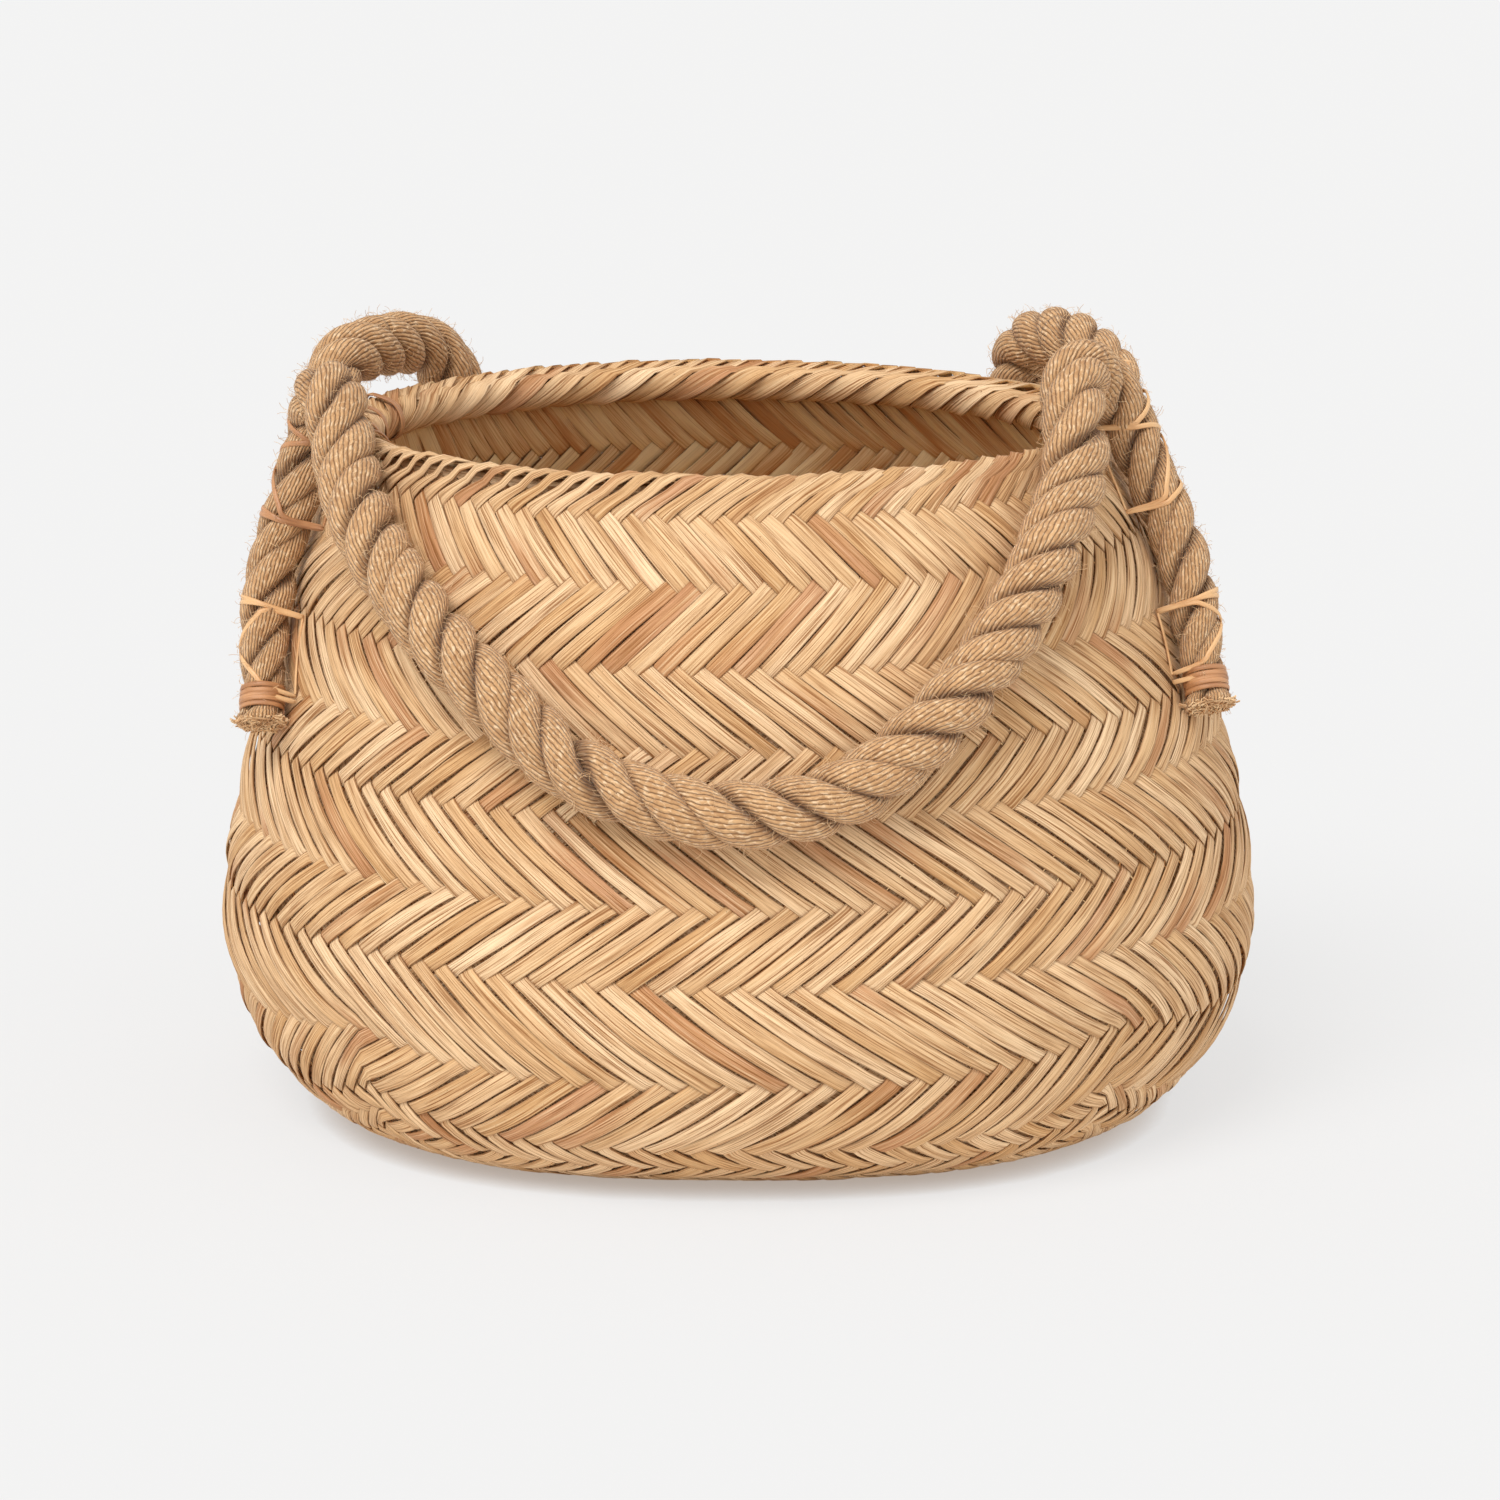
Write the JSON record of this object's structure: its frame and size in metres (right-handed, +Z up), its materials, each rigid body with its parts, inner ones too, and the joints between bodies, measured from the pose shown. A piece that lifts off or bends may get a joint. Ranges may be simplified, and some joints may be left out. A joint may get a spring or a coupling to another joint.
{
  "type": "plaited storage basket",
  "caption": "Round plaited rattan basket with a drawn-in neck, a rolled border and two handles of thick jute rope laced to its shoulders",
  "frame": {"origin": "middle of the foot, on the ground", "axes": "+Z up; the front handle hangs towards -Y, the back handle towards +Y; X runs from the left pair of rope ends to the right pair"},
  "size_m": [0.4298, 0.4631, 0.3217],
  "materials": {
    "straw": "natural flat strips, dry and slightly silky, in mixed straw and tan",
    "jute": "coarse laid jute rope with loose hairs",
    "cane": "split cane with a smooth skin, part orange-brown and part pale"
  },
  "bodies": {
    "basket": {"plaited_body": "straw", "rolled_border": "straw", "front_left_rope_end": "jute", "front_left_frayed_tip": "jute", "front_left_whipping": "cane", "front_left_upper_lace": "cane", "front_left_lower_lace": "cane", "front_left_rim_tie": "cane", "front_right_rope_end": "jute", "front_right_frayed_tip": "jute", "front_right_whipping": "cane", "front_right_upper_lace": "cane", "front_right_lower_lace": "cane", "front_right_rim_tie": "cane", "back_left_rope_end": "jute", "back_left_frayed_tip": "jute", "back_left_whipping": "cane", "back_left_upper_lace": "cane", "back_left_lower_lace": "cane", "back_left_rim_tie": "cane", "back_right_rope_end": "jute", "back_right_frayed_tip": "jute", "back_right_whipping": "cane", "back_right_upper_lace": "cane", "back_right_lower_lace": "cane", "back_right_rim_tie": "cane"},
    "front_bends": {"front_left_rope_bend": "jute", "front_right_rope_bend": "jute"},
    "front_handle": {"front_handle_rope": "jute"},
    "back_bends": {"back_left_rope_bend": "jute", "back_right_rope_bend": "jute"},
    "back_handle": {"back_handle_rope": "jute"}
  },
  "joints": [
    {"name": "front_bend", "type": "hinge", "parent": "basket", "child": "front_bends", "pos_m": [0, -0.035, 0.284], "axis": [-1, 0, 0], "range_deg": [0, 70], "deforming": ["front_left_rope_bend", "front_right_rope_bend"]},
    {"name": "front_swing", "type": "hinge", "parent": "front_bends", "child": "front_handle", "pos_m": [0, -0.077, 0.29], "axis": [-1, 0, 0], "range_deg": [0, 70], "deforming": ["front_left_rope_bend", "front_right_rope_bend"]},
    {"name": "back_bend", "type": "hinge", "parent": "basket", "child": "back_bends", "pos_m": [0, 0.036, 0.284], "axis": [1, 0, 0], "range_deg": [0, 77], "deforming": ["back_left_rope_bend", "back_right_rope_bend"]},
    {"name": "back_swing", "type": "hinge", "parent": "back_bends", "child": "back_handle", "pos_m": [0, 0.114, 0.286], "axis": [1, 0, 0], "range_deg": [0, 77], "deforming": ["back_left_rope_bend", "back_right_rope_bend"]}
  ],
  "couplings": [
    {"joint": "front_bend", "follows": "front_swing", "ratio": 1},
    {"joint": "back_bend", "follows": "back_swing", "ratio": 1}
  ]
}
